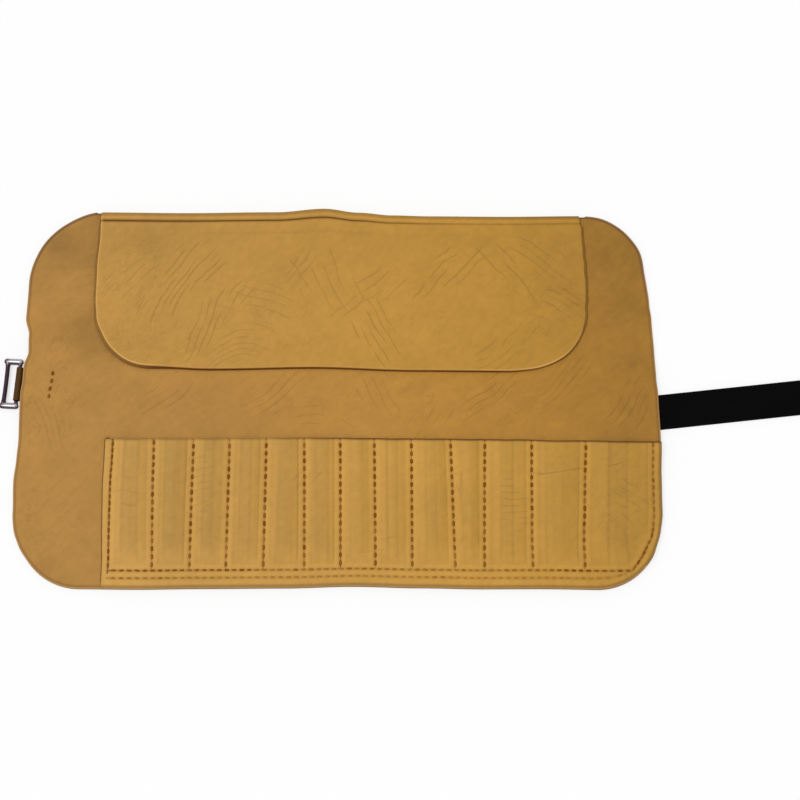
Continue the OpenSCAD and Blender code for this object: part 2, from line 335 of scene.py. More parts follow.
class Shader:
    """A material's nodes, added one at a time."""

    def __init__(self, name, roughness, specular):
        self.material = bpy.data.materials.new(name)
        self.material.use_nodes = True
        self.tree = self.material.node_tree
        self.surface = self.tree.nodes["Principled BSDF"]
        self.surface.inputs["Roughness"].default_value = roughness
        self.surface.inputs["Specular IOR Level"].default_value = specular
        self.rest = self.attribute("rest", "Vector")

    def node(self, kind, inputs, output=0, **settings):
        return add_node(self.tree, kind, inputs, **settings).outputs[output]

    def attribute(self, name, output="Fac"):
        return self.node("Attribute", {}, output, attribute_name=name)

    def math(self, operation, a, b=0, c=0):
        return self.node("Math", {0: a, 1: b, 2: c}, operation=operation)

    def ramp(self, value, low, high, start=0, end=1):
        """start below low, end above high, and smooth between them."""
        return self.node("MapRange", {"Value": value, "From Min": low, "From Max": high,
                                      "To Min": start, "To Max": end},
                         interpolation_type="SMOOTHSTEP")

    def mix(self, factor, a, b):
        return self.node("Mix", {0: factor, 6: a, 7: b}, 2, data_type="RGBA")

    def toned(self, colour, value, saturation=1):
        """The colour, lighter or darker by a value round 0."""
        return self.node("HueSaturation", {"Saturation": saturation, "Color": colour,
                                           "Value": self.math("ADD", value, 1)})

    def frame(self, vector, at, angle, sizes):
        """A vector as seen from a point, turned, in units of those sizes; lengths in mm."""
        return self.node("Mapping", {
            "Vector": vector, "Location": (at[0] * MM, at[1] * MM, 0),
            "Rotation": (0, 0, math.radians(angle)), "Scale": [size * MM for size in sizes],
        }, vector_type="TEXTURE")

    def noise_at(self, place, detail=1, rough=0.5, distort=0, output=0):
        return self.node("TexNoise", {"Vector": place, "Scale": 1, "Detail": detail,
                                      "Roughness": rough, "Distortion": distort}, output)

    def noise(self, along, across=None, angle=0, shift=0, **settings):
        """Noise on the leather, from 0 to 1, with spots of that size in mm."""
        place = self.frame(self.rest, (shift, shift), angle, (along, across or along, 2))
        return self.noise_at(place, **{"detail": 2, **settings})

    def swing(self, *places, **settings):
        """The same noise, from -0.5 to 0.5."""
        return self.math("SUBTRACT", self.noise(*places, **settings), 0.5)

    def drifted(self):
        """The leather's coordinates, moved about so that no crease runs dead straight."""
        place = self.rest
        for size, reach in ((34, 10), (9, 2.2)):
            spread = self.noise_at(self.frame(self.rest, (5, 5), 0, (size, size, 2)),
                                   output="Color")
            moved = self.node("VectorMath", {0: spread, 1: (-0.5,) * 3}, operation="ADD")
            place = self.node("VectorMath", {0: moved, 1: (reach * MM,) * 3, 2: place},
                              operation="MULTIPLY_ADD")
        return place

    def oval(self, u, v, length, breadth):
        """0 in the middle of an oval and 1 on its outline."""
        far = [self.math("POWER", self.math("DIVIDE", at, size / 2), 2)
               for at, size in ((u, length), (v, breadth))]
        return self.math("ADD", *far)

    def creases(self, drifted, x, y, angle, bend, length, breadth, spacing):
        """Thin curved lines side by side, broken into tapered strokes.

        They lie round (x, y), run at an angle in degrees and turn by bend degrees over
        their length. Breadth is across them, and all lengths are in mm."""
        place = self.frame(drifted, (x, y), angle, (1, 1, 1))
        u, v = self.axis(place, "X"), self.axis(place, "Y")
        turn = -math.radians(bend) / (2 * length)
        across = self.math("MULTIPLY_ADD", self.math("MULTIPLY", u, u), turn, v)
        lines = self.math("DIVIDE", across, spacing)
        cell = self.node("CombineXYZ", {0: self.math("DIVIDE", u, 0.45 * length), 1: lines,
                                        2: x + 3 * y})
        broken = self.noise_at(cell)
        far = self.oval(u, across, length, breadth)
        shown = self.ramp(self.math("MULTIPLY_ADD", far, -0.17, broken), 0.36, 0.56)
        reach = self.math("MULTIPLY_ADD", shown, CREASE_W / spacing, 0.0001)
        off_line = self.math("DIVIDE", self.math("PINGPONG", lines, 0.5), reach)
        return self.math("MULTIPLY", self.ramp(off_line, 0.3, 1, 1, 0), self.ramp(shown, 0, 0.5))

    def wrinkles(self, x, y, length, breadth, size, angle):
        """Fine winding wrinkles round (x, y), about as far apart as size in mm."""
        place = self.frame(self.rest, (x, y), 0, (1, 1, 1))
        far = self.oval(self.axis(place, "X"), self.axis(place, "Y"), length, breadth)
        inside = self.ramp(far, 0.4, 1.3, 1, 0)
        winding = self.swing(3.2 * size, 1.4 * size, angle, x, detail=2.5, rough=0.55, distort=0.6)
        line = self.ramp(self.math("ABSOLUTE", winding), 0, 0.04, 1, 0)
        patchy = self.ramp(self.noise(size * 3.5, shift=77), 0.42, 0.58)
        return self.math("MULTIPLY", self.math("MULTIPLY", inside, patchy), line)

    def axis(self, vector, name):
        return self.node("SeparateXYZ", {0: vector}, name)

    def total(self, *terms):
        """The sum of (value, weight) terms."""
        result = 0
        for value, weight in terms:
            result = self.math("MULTIPLY_ADD", value, weight, result)
        return result

    def finish(self, colour, height):
        """height is in millimetres."""
        bump = self.node("Bump", {"Strength": 1, "Distance": MM, "Height": height})
        feed(self.tree, self.surface.inputs["Base Color"], colour)
        feed(self.tree, self.surface.inputs["Normal"], bump)
        return self.material


def leather(name, colour, creases, depth, wrinkles, blotch, highlight_strength, streaks=0, edge=EDGE_AND_SHADE,
            pebbled=0.17):
    """Waxed, pulled-up hide: mottled, creased by use, with burnish on its cut edges, painted shade
    and a painted highlight.
    """
    s = Shader(name, roughness=0.62, specular=0.2)
    broad = s.swing(85, shift=3, detail=3)
    cloud = s.swing(16, shift=11, detail=4, rough=0.62)
    smear = s.swing(26, 9, 35, 17, detail=3, rough=0.6)
    pebble = s.swing(4.6, 3.4, 40, 53, detail=1.5)
    grain = s.swing(1.3, shift=29, detail=5, rough=0.65)
    pores = s.swing(0.45, shift=41)
    drifted = s.drifted()
    crease = 0
    for strength, *layer in creases:
        crease = s.math("MAXIMUM", crease, s.math("MULTIPLY", s.creases(drifted, *layer), strength))
    for strength, *layer in wrinkles:
        crease = s.math("MAXIMUM", crease, s.math("MULTIPLY", s.wrinkles(*layer), strength))
    terms = [(broad, blotch), (cloud, blotch), (smear, 0.7 * blotch), (grain, 0.05),
             (pebble, pebbled), (s.attribute("tone"), 1), (crease, CREASE_TONE)]
    if streaks:
        terms.append((s.swing(70, 2.6, 90, 7), streaks))
    value = s.total(*terms)
    # The hide is a little greyer towards its left end.
    strong = s.ramp(s.axis(s.rest, "X"), -HALF_W * MM, HALF_W * MM, 0.972, 1.018)
    body = s.toned(colour, value, strong)
    # Painted shade in grooves and seams, then the dark edge colour, then the painted highlight on
    # rims
    darkened = s.mix(s.attribute("painted_shade_and_brown"), body, PAINTED_SHADE_BROWN)
    edged = s.mix(s.attribute("edge"), darkened, edge)
    shine = s.math("MULTIPLY", s.attribute("shine"), highlight_strength)
    highlighted = s.mix(shine, edged, HIGHLIGHT_PALE)
    height = s.total((grain, 0.08), (pores, 0.05), (cloud, 0.25), (pebble, 1.5 * pebbled),
                     (crease, -depth))
    return s.finish(highlighted, height)


# Where each piece creases, as strength, then x, y, angle, bend, length, breadth and spacing,
# and where it wrinkles, as strength, then x, y, length, breadth, size and angle. With more than
# about 15 groups of creases in one material, Cycles runs out of room and renders it black.
FLAP_CREASES = [
    (0.9, -94, 66, 58, -22, 74, 34, 3.4),
    (0.9, -74, 47, 62, -26, 72, 24, 3.8),
    (0.6, -50, 57, -18, -14, 60, 20, 5),
    (0.6, -55, 32, 4, -130, 56, 34, 3.8),
    (0.6, -28, 70, 52, 10, 44, 22, 4),
    (0.7, -6, 66, -60, 14, 66, 34, 6.5),
    (0.9, 24, 36, -58, 8, 56, 26, 4),
    (0.7, 14, 62, 40, 12, 70, 26, 5),
    (0.9, 60, 73, 48, -12, 66, 26, 4.8),
    (0.8, 98, 74, -48, -10, 60, 22, 5),
    (0.7, 118, 80, -37, -16, 52, 26, 4.6),
    (0.6, 130, 52, -34, -30, 34, 30, 4),
    (0.6, 97, 30, 38, 24, 58, 22, 4.2),
    (0.6, -118, 62, 48, -20, 50, 40, 4.4),
]
FLAP_WRINKLES = [(0.55, -122, 62, 50, 84, 2.6, 48), (0.5, -108, 32, 66, 34, 3, 20),
                 (0.35, -40, 50, 90, 60, 3.6, 52), (0.3, 70, 50, 130, 70, 4, 38)]
SHEET_CREASES = [
    (0.7, -98, -2, 42, 10, 48, 26, 4.2),
    (0.8, -35, 2, 40, 24, 60, 24, 4.2),
    (0.6, -10, -12, -8, -60, 50, 18, 5),
    (0.7, 24, -2, -56, 10, 46, 20, 4.4),
    (0.8, 88, 2, 42, 18, 62, 24, 4),
    (0.6, 52, -14, 52, 0, 34, 22, 4),
    (0.6, 128, 8, 48, 20, 48, 24, 3.8),
    (0.6, 166, -6, 58, -16, 44, 24, 3.8),
    (0.5, -164, -14, -62, -40, 46, 28, 3.6),
    (0.4, -152, 70, 12, -40, 60, 30, 6),
    (0.4, -158, -66, 40, 30, 60, 26, 5),
]
SHEET_WRINKLES = [(0.65, -163, 0, 44, 80, 3, 60), (0.35, 60, -6, 220, 30, 3.6, 30),
                  (0.5, -160, -70, 44, 60, 3.4, 30)]
POCKET_CREASES = [
    (0.9, 132, -42, 4, 14, 66, 12, 9),
    (0.6, 101, -62, 8, 18, 24, 46, 4),
    (0.5, 162, -62, -34, 30, 30, 44, 4.4),
    (0.5, 64, -60, 86, 10, 60, 16, 4),
    (0.5, -78, -55, 2, 10, 18, 66, 4),
    (0.5, -118, -62, -8, 14, 20, 40, 7),
    (0.5, -18, -46, 46, 10, 26, 20, 4),
    (0.4, 24, -84, 6, 20, 40, 16, 5),
]
POCKET_WRINKLES = [(0.45, 64, -62, 22, 76, 2.6, 80), (0.4, 160, -60, 34, 70, 3, 35),
                   (0.35, -75, -66, 60, 50, 3, 10)]

sheet_leather = leather("sheet_leather", SHEET_HIDE, SHEET_CREASES, 0.08, SHEET_WRINKLES,
                        blotch=0.30, highlight_strength=0.45)
flap_leather = leather("flap_leather", FLAP_HIDE, FLAP_CREASES, 0.12, FLAP_WRINKLES,
                       blotch=0.22, highlight_strength=1, edge=FLAP_EDGE_AND_SHADE, pebbled=0.18)
pocket_leather = leather("pocket_leather", POCKET_HIDE, POCKET_CREASES, 0.08, POCKET_WRINKLES,
                         blotch=0.14, highlight_strength=0.9, streaks=0.14)


def make_strap_leather():
    s = Shader("strap_leather", roughness=0.6, specular=0.02)
    grain = s.swing(1.1, shift=5, detail=5, rough=0.6)
    broad = s.swing(40, 12, shift=9, detail=3)
    body = s.toned(STRAP_BLACK, s.total((broad, 0.7), (grain, 0.5)))
    edged = s.mix(s.attribute("edge"), body, STRAP_EDGE)
    # The turned end and its loop round the bar are coloured brown.
    wear_and_highlight = s.mix(s.attribute("painted_shade_and_brown"), edged, STRAP_END_BROWN)
    return s.finish(wear_and_highlight, s.total((grain, 0.12), (broad, 0.2)))


def make_thread():
    s = Shader("thread", roughness=0.7, specular=0.15)
    ply = s.swing(0.5, 0.25, 35)
    wear_and_highlight = s.mix(s.attribute("fade"), THREAD_BROWN, THREAD_FADED)
    return s.finish(s.toned(wear_and_highlight, s.math("MULTIPLY", ply, 0.8)), s.math("MULTIPLY", ply, 0.15))


def make_nickel():
    s = Shader("nickel", roughness=0.24, specular=0.5)
    s.surface.inputs["Metallic"].default_value = 1
    smear = s.swing(3, shift=2, detail=4)
    scuff = s.ramp(s.noise(1.2, 0.3, 20, detail=3), 0.6, 0.7)
    # Painted reflection: the slim bars are painted dark, and the shoulders bright.
    wear_and_highlight = s.mix(s.attribute("bright"), NICKEL_DARK, NICKEL_BRIGHT)
    body = s.toned(wear_and_highlight, s.total((smear, 0.25), (scuff, -0.2)))
    return s.finish(body, s.total((smear, 0.03), (scuff, -0.02)))


strap_leather = make_strap_leather()
thread = make_thread()
nickel = make_nickel()

# ---- The sheet ----

EDGE_ROUND = 0.95


def shade(x):
    """Painted light and shade: the hide is painted paler at its left end and darker at its right.
    """
    return 0.04 * rise(-60, -170, x) - 0.20 * rise(60, 175, x)


def patches(table, x, y, climb=0):
    """The tone that soft patches give a point. They may climb along x."""
    return sum(strength * around(y - at_y - climb * (x + 160), reach_y) * around(x - at_x, reach_x)
               for strength, at_x, at_y, reach_x, reach_y in table)


# Paler and darker patches, as strength, x, y, reach along x and reach along y. VALLEYS climb by
# VALLEY_CLIMB: they are painted shade and light where the hide dips and swells at the left of the
# flap.
VALLEYS, VALLEY_CLIMB = [(-0.10, -158, 38, 18, 8), (0.05, -162, 25, 16, 6)], 0.4
SHEET_PATCHES = [(0.08, 18, -6, 62, 26), (-0.23, -163, 90, 11, 10), (-0.12, -163, -99, 12, 10),
                 (-0.22, -149, 33, 12, 12), (0.05, -150, 55, 12, 8)]
FLAP_PATCHES = [(-0.14, -118, 97, 32, 18), (0.08, 10, 40, 42, 26), (-0.09, 60, 98, 40, 12)]
PANEL_PATCHES = [(0.09, -5, -55, 6, 34), (0.05, 62, -40, 40, 12), (-0.06, 178, -60, 6, 24)]


def from_corner(over_x, over_y):
    """Distance from a round corner's centre, or from the straight lines that run on from it."""
    both = (over_x > 0) & (over_y > 0)
    return np.where(both, np.hypot(over_x, over_y), np.maximum(over_x, over_y))


def inside_outline(x, y):
    """How far a point of the sheet lies in from its edge."""
    corner = np.where(y > 0, REAR_R, FRONT_R)
    return corner - from_corner(np.abs(x) - (HALF_W - corner), np.abs(y) - (HALF_D - corner))


def flap_distance(x, y):
    """How far a point of the sheet lies outside the flap's outline."""
    stray = np.where(x > 0, through(FLAP_RIGHT, y), -through(FLAP_LEFT, y))
    return from_corner(np.abs(x) - stray - (FLAP_HALF_W - FLAP_R),
                       FLAP_FRONT + through(FLAP_FREE, x) + FLAP_R - y) - FLAP_R


def build_sheet():
    rear, front = REAR_R - EDGE_ROUND, FRONT_R - EDGE_ROUND
    bend = 1 - np.cos(np.linspace(0, math.pi / 2, 26))
    edge = HALF_D - EDGE_ROUND
    y = np.hstack([-edge + front * bend, np.arange(front - edge + 1.8, edge - rear, 1.8),
                   (edge - rear * bend)[::-1]])
    by_edge = np.array([0, 0.4, 0.8, 1.3, 1.9, 2.6, 3.5]) / HALF_W
    u = np.hstack([by_edge - 1, np.linspace(-0.974, 0.974, 190), 1 - by_edge[::-1]])
    corner = np.where(y > 0, REAR_R, FRONT_R)
    over = np.maximum(np.abs(y) - (HALF_D - corner), 0)
    half = HALF_W - corner + np.sqrt(np.maximum((corner - EDGE_ROUND) ** 2 - over**2, 0))
    x = half[:, None] * u
    y = np.broadcast_to(y[:, None], x.shape)
    # A band along the outline takes the dark edge colour, more at the rear: burnish and painted
    # shade where the edge rounds down.
    burnish_and_shade = 0.44 * rise(2.4, 1.4, inside_outline(x, y)) * (1 + 0.7 * rise(40, 90, y))
    # Between the flap's ends the sheet stops where it starts to roll over.
    flap_end = FLAP_HALF_W + np.where(x > 0, FLAP_RIGHT[-1][1], -FLAP_LEFT[-1][1])
    share = rise(flap_end + 0.2, flap_end - 3.3, np.abs(x))
    y = y - share * rise(92, edge, y) * (edge - FOLD_Y + 0.4)
    wx, wy = warp(x, y)
    # Beside the flap's ends the rear edge stands as far back as the roll.
    ends = np.where(x > 0, 0.4, 0.7) * rise(flap_end - 1.5, flap_end, np.abs(x)) \
        * rise(flap_end + 26, flap_end + 2, np.abs(x)) * rise(94, 108, y)
    middle = np.stack([wx, wy + ends, sheet_under(x, y) + SHEET_T / 2], -1)
    flat = np.stack([x, y], -1)
    # Painted shadow darkens the leather beside the flap's left end, painted light makes it paler
    # along the flap's free edge, and painted shade darkens it towards the fold.
    beside_flap = np.maximum(flap_distance(x, y), 0)
    left, right = rise(-120, -140, x), rise(120, 140, x)
    tone = (shade(x) + patches(SHEET_PATCHES, x, y) + patches(VALLEYS, x, y, VALLEY_CLIMB)
            - 0.09 * rise(40, 95, y)
            - left * (0.12 * np.exp(-beside_flap / 2.5) + 0.06 * around(beside_flap, 12))
            + (0.11 * (1 - left - right) + 0.03 * right) * np.exp(-beside_flap / 7))
    return slab("sheet", middle, flat, SHEET_T, EDGE_ROUND, sheet_leather,
                {"tone": tone, "edge": burnish_and_shade, "dark": 0.85})


sheet = build_sheet()
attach(sheet, "sheet")
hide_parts("main_panel")

# ---- The fold and the flap, one piece of leather ----

FOLD_MID_R = FOLD_R - SHEET_T / 2
# Distance from the roll to the crease pressed along it, and on to a fainter one
GROOVE, NEXT_GROOVE = 3.25, 7
# Along the flap's rim from left to right: how bright its painted highlight is, how far its lower
# corner stands out and how dark that is, as dark edge colour and painted shadow line
FLAP_HIGHLIGHT = [(-142, 0.7), (-118, 0.85), (-95, 0.15), (60, 0.2), (95, 0.55), (122, 0.95), (138, 0.4),
          (142, 0)]
LIP = [(-142, 1.3), (-132, 1.6), (-115, 1.3), (-90, 0.4), (90, 0.3), (120, 0.1), (138, 0.6),
       (142, 1.4)]
LIP_DARK = [(-142, 0.6), (-128, 0.72), (-100, 1), (90, 0.95), (120, 0.6), (142, 0.48)]


def build_flap():
    root = 3  # how far the leather reaches under the roll, inside the sheet
    arc = math.pi * FOLD_MID_R
    depth = FOLD_Y - FLAP_FRONT - EDGE_ROUND
    radius = FLAP_R - EDGE_ROUND
    turn = np.linspace(0, math.pi, 15)
    bend_rows = 1 - np.cos(np.linspace(0, math.pi / 2, 16))
    near = np.hstack([np.arange(0.35, 6, 0.35), np.arange(6, depth - FLAP_R, 1.6)])
    corner = (depth - radius * bend_rows)[::-1]
    forward = np.hstack([near[near < corner[0] - 0.5], corner])
    # Distance along the leather from the roll's start: forward, round the roll and under it,
    # so that the rows face up on top
    along = np.hstack([[-root, -1.2], turn / math.pi * arc, arc + forward])[::-1]
    past = along - arc
    over = np.maximum(past - (depth - radius), 0)
    half = FLAP_HALF_W - EDGE_ROUND - radius + np.sqrt(np.maximum(radius**2 - over**2, 0))
    u = np.linspace(-1, 1, 200)
    x = half[:, None] * u
    ahead = np.maximum(past, 0)
    lean = (through(FLAP_RIGHT, FOLD_Y - ahead)[:, None] * np.clip(u, 0, 1) ** 2
            + through(FLAP_LEFT, FOLD_Y - ahead)[:, None] * np.clip(-u, 0, 1) ** 2)

    angle = np.clip(along / arc, 0, 1) * math.pi
    y = (FOLD_Y + FOLD_MID_R * np.sin(angle) - ahead + np.minimum(along, 0))[:, None]
    wx, wy = warp(x, y)
    base = sheet_under(x, np.minimum(y, FOLD_Y)) + SHEET_T / 2
    # The roll bulges a little behind the flap, with a groove where the flap leaves it.
    flat_part = ahead[:, None]
    roll = (1 - np.cos(angle))[:, None] / 2
    on_top = roll >= 1
    lift = SHEET_T + LAYER_GAP
    from_groove, from_next = flat_part - GROOVE, flat_part - GROOVE - NEXT_GROOVE
    groove = -0.5 * around(from_groove, 0.8) * on_top
    second = -0.15 * around(from_next, 1.1) * on_top
    away = rise(8, 30, flat_part)
    waves = 0.45 * (1 + np.sin(x / 23 + y / 17 + 2) * np.cos(x / 41 - y / 21)) * away
    corner_lift = 1.1 * rise(-95, -140, x) * rise(70, 18, y) + 0.35 * rise(34, 18, y)
    z = base + roll * lift + groove + second + waves * 0.7 + corner_lift * away
    free = through(FLAP_FREE, x) * rise(30, depth, flat_part)
    middle = np.stack([wx + lean, wy + free, z], -1)
    flat = np.dstack(np.broadcast_arrays(x, FOLD_Y - past[:, None]))
    # Painted shade in the groove, darkest at the left, and fainter in the second groove in the
    # middle.
    fading = 1.4 - 1.08 * rise(-20, 90, x)
    spread = 0.8 + 0.12 * rise(-60, -110, x)
    dark_line = fading * around(from_groove, spread) * on_top
    middle_part = rise(-92, -74, x) * (1 - 0.75 * rise(-8, 30, x))
    faint_line = 0.22 * middle_part * around(from_next, 0.6) * on_top
    round_roll = angle[:, None]
    over_roll = rise(1, 0.2, flat_part) * (round_roll > 1.2)
    by_groove = rise(2.8, 3, round_roll) * rise(GROOVE, GROOVE - 1, flat_part)
    # Painted light and shade: the side falloff, painted shade on the roll's rear, a painted
    # highlight on the roll's top before the groove and a band of painted light just after it.
    tone = (shade(x) + patches(FLAP_PATCHES, x, y) * rise(2, 6, flat_part)
            - 0.27 * over_roll + 0.07 * by_groove
            + 0.05 * rise(16, GROOVE + 1, flat_part) * rise(GROOVE, GROOVE + 1, flat_part)
            * (1 - 0.5 * middle_part))
    thick = np.where(along < 0, SHEET_T - 0.5, SHEET_T)[:, None]
    # The rim takes its painted highlight, its lip and the lip's darkness, partly painted shadow,
    # from the tables above.
    return slab("flap", middle, flat, thick, EDGE_ROUND, flap_leather, {
        "tone": tone, "painted_shade_and_brown": np.minimum(dark_line + faint_line, 0.95),
        "wear_and_highlight": through(FLAP_HIGHLIGHT, x) * rise(-0.5, 2, past)[:, None],
        "lip": through(LIP, x) * rise(0, 6, past)[:, None], "dark": through(LIP_DARK, x)})


flap = build_flap()
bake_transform(flap)
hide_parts("flap_fold", "top_flap")

# ---- The pocket panel ----

POCKET_ROUND = 0.5
# The base seam turns up round the right corner, and the outer seam runs out into it.
CORNER_SEAM = [(162.9, BASE_SEAM), (165.6, -96.2), (169.3, -91.1), (172.6, -86.1), (175, -81.8),
               (176.2, -76)]
OUTER_END = [(143, OUTER_SEAM), (152, -102.8), (160, -101)]
TOE_L = 16
# Threads pulled deep, with more painted shade in their seam: the seam's number, how deep, and from
# where down to where
DEEP_THREADS = [(0, 1, 0, -1), (6, 0.9, -58, -64), (4, 0.6, -72, -80)]
POCKETS = len(SEAMS) - 1
pocket_rise = random.uniform(1.9, 2.7, POCKETS)
# A pencil has pressed a darker band into each pocket, with a line along both sides
BAND = np.array([12, 11, 12, 7, 10, 12, 3, 5, 8, 4, 8, 5, 7]) / 100
band_at = np.stack([random.uniform(0.28, 0.34, POCKETS), random.uniform(0.60, 0.68, POCKETS)], 1)
pressed = random.uniform(0.02, 0.08, (POCKETS, 2))
beside_seam = random.uniform(0.2, 1, (POCKETS, 2)) ** 2


def front_line(x, inset):
    """The leather's front edge, moved in by an inset, with its round right corner."""
    beyond = np.clip(x - (HALF_W - FRONT_R), 0, FRONT_R - inset)
    return FRONT_R - HALF_D - np.sqrt((FRONT_R - inset) ** 2 - beyond**2)


def sheet_top(x, y):
    return sheet_under(x, y) + SHEET_T


def pocket_at(x):
    """Which pocket x is in, the share of its width, that width, and whether x is in any."""
    i = np.clip(np.searchsorted(SEAMS, x) - 1, 0, POCKETS - 1)
    width = SEAMS[i + 1] - SEAMS[i]
    return i, (x - SEAMS[i]) / width, width, (x > SEAMS[0]) & (x < SEAMS[-1])


def pocket_arch(x, y):
    """Height of a pocket's bulge above the seams."""
    i, share, width, inside = pocket_at(x)
    from_seam = np.minimum(share, 1 - share) * width - 1
    climb = rise(0, 0.42 * width, from_seam)
    toe = np.maximum(BASE_SEAM, front_line(x, OUTER_HEM)) + 1.2
    opened = rise(toe, toe + TOE_L, y)
    return np.where(inside, pocket_rise[i] * climb * (0.25 * opened + 0.75 * opened**2), 0)


def to_line(x, y, line):
    """Distance from points to a line drawn through corners."""
    near = np.full(x.shape, 1e3)
    for (ax, ay), (bx, by) in zip(line[:-1], line[1:]):
        dx, dy = bx - ax, by - ay
        along = np.clip(((x - ax) * dx + (y - ay) * dy) / (dx**2 + dy**2), 0, 1)
        near = np.minimum(near, np.hypot(x - ax - along * dx, y - ay - along * dy))
    return near


def seam_distance(x, y):
    """Distance to the nearest line of stitches on the panel."""
    beside = np.min(np.abs(x[..., None] - SEAMS[:-1]), -1)
    upright = np.hypot(beside, np.maximum(BASE_SEAM - y, 0))
    ends = to_line(x, y, [(FIRST_SEAM, BASE_SEAM), *CORNER_SEAM, (CORNER_SEAM[-1][0], MOUTH_Y)])
    outer = to_line(x, y, [(FIRST_SEAM, OUTER_SEAM), *OUTER_END])
    return np.minimum(upright, np.minimum(ends, outer))


def panel_columns():
    """Places of the panel's columns, closer together by the seams and the edges."""
    steps = [0, 0.35, 0.7, 1.1, 1.6, 2.2, 2.9, 3.7, 4.6]
    columns = [POCKET_LEFT + POCKET_ROUND, POCKET_LEFT + 1.6, POCKET_LEFT + 3]
    for a, b in zip(SEAMS[:-1], SEAMS[1:]):
        inner = np.linspace(a + 5.6, b - 5.6, max(3, round((b - a - 11) / 1.2)))
        columns += [a + k for k in steps] + inner.tolist() + [b - k for k in steps[:0:-1]]
    last = HALF_W - POCKET_ROUND
    columns += [LAST_SEAM + k for k in (0, 0.5, 1, 1.6, 2.2, 2.8, 3.3)]
    columns += [last - 0.35, last - 0.1, last]
    return np.array(sorted(columns + [k + 0.3 for k in columns if 155 < k < 171]))


def build_pocket_panel():
    x = panel_columns()
    v = np.hstack([np.linspace(0, 0.16, 24)[:-1], np.linspace(0.16, 0.35, 24)[:-1],
                   np.linspace(0.35, 0.97, 36)[:-1], np.linspace(0.97, 1, 5)])
    low = front_line(x, POCKET_ROUND)
    y = low + v[:, None] * (MOUTH_Y - POCKET_ROUND - low)
    x = np.broadcast_to(x, y.shape)
    wx, wy = panel_warp(x, y)
    arch = pocket_arch(x, y)
    # The mouth leans forward as it rises.
    wy = wy - 0.25 * arch * rise(MOUTH_Y - 30, MOUTH_Y, y)
    d = seam_distance(x, y)
    groove = -0.35 * around(d, 0.8)
    welt = 0.22 * around(d - 2.3, 1)
    i, share, width, inside = pocket_at(x)
    from_mouth = MOUTH_Y - y
    start, end = band_at[i, 0], band_at[i, 1]
    band = rise(start - 0.03, start + 0.03, share) * rise(end + 0.03, end - 0.03, share) \
        * rise(BASE_SEAM + 6, BASE_SEAM + 16, y) * inside
    across = share * width
    lines = (pressed[i, 0] * around(across - start * width, 0.6)
             + pressed[i, 1] * around(across - end * width, 0.6)
             + 0.12 * beside_seam[i, 0] * around(across - (width - 3.7), 0.45)
             + 0.08 * beside_seam[i, 1] * around(across - 4.2, 0.45))
    lines = lines * rise(BASE_SEAM + 1, BASE_SEAM + 8, y) * inside
    sunk = -0.35 * band * rise(0.6, 1.8, arch)
    z = sheet_top(x, y) + PANEL_GAP + POCKET_T / 2 + arch + groove + welt - 2 * lines + sunk
    middle = np.stack([wx, wy, z], -1)
    flat = np.stack([x, y], -1)
    # Painted shade along the seams: darkest where the thread is pulled deep, less so at the front
    # and the right.
    deep = sum(pull * (np.abs(x - SEAMS[seam]) < 2) * rise(high, low, y)
               for seam, pull, high, low in DEEP_THREADS)
    front = rise(BASE_SEAM + 2, BASE_SEAM, y)
    faded = (1 - 0.45 * front * rise(-100, -20, x)) * (1 - 0.4 * rise(-101, -102, y))
    at_right = 1 - 0.4 * (x > 150) * rise(-92, -84, y)
    painted_shade_and_brown = (0.42 + 0.4 * np.clip(deep, 0, 1)) * faded * at_right * around(d, 0.55)
    painted_shade_and_brown = np.maximum(painted_shade_and_brown, 0.6 * around(to_line(x, y, CORNER_SEAM), 0.6))
    # A band along the outline takes the dark edge colour: burnish and painted shade where the edge
    # rounds down.
    burnish_and_shade = 0.48 * rise(2.2, 1.3, inside_outline(x, y))
    # Painted shadow along the pocket mouth, stronger towards the right
    mouth_shadow = (0.30 + 0.65 * rise(-60, 20, x)) * around(from_mouth - 0.4, 0.7)
    # Painted light on the welts beside the seams, painted shade in the crease lines, and the
    # painted light and shade of the side falloff
    tone = (0.09 * around(d - 2, 1) - BAND[i] * band + 0.05 * rise(-104, -112, x) + 0.7 * shade(x)
            - 2 * lines + patches(PANEL_PATCHES, x, y))
    # Painted highlight on the rim, away from the mouth and weaker at the front
    wear_and_highlight = rise(0.6, 2.5, from_mouth) * (1 - 0.5 * front)
    # At the panel's left edge the rim's lower corner stands out as a dark lip: dark edge colour and
    # painted shadow line.
    lip = 1.6 * (x < POCKET_LEFT + 2) * rise(-108, -104, y)
    looks = {"tone": tone, "painted_shade_and_brown": np.clip(painted_shade_and_brown + mouth_shadow, 0, 1), "edge": burnish_and_shade,
             "wear_and_highlight": wear_and_highlight * rise(POCKET_LEFT, POCKET_LEFT + 4, x) * (x < 170), "lip": lip,
             "dark": 0.85}
    return slab("pocket_panel_leather", middle, flat, POCKET_T, POCKET_ROUND, pocket_leather,
                looks)


pocket_panel = build_pocket_panel()
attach(pocket_panel, "sheet")
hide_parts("pocket_panel")

# ---- Stitching ----

STITCH_L, THREAD_R, EDGE_THREAD_R = 2.2, 0.8, 0.6
# A stitch from hole to hole: places along it, its height and its thickness there
STITCH_AT = np.array([-1, -0.98, -0.8, -0.4, 0, 0.4, 0.8, 0.98, 1]) * STITCH_L / 2
STITCH_BOW = np.array([-0.7, -0.1, 0.18, 0.26, 0.28, 0.26, 0.18, -0.1, -0.7])
STITCH_TAPER = np.array([0.7, 0.9, 1, 1, 1, 1, 1, 0.9, 0.7])


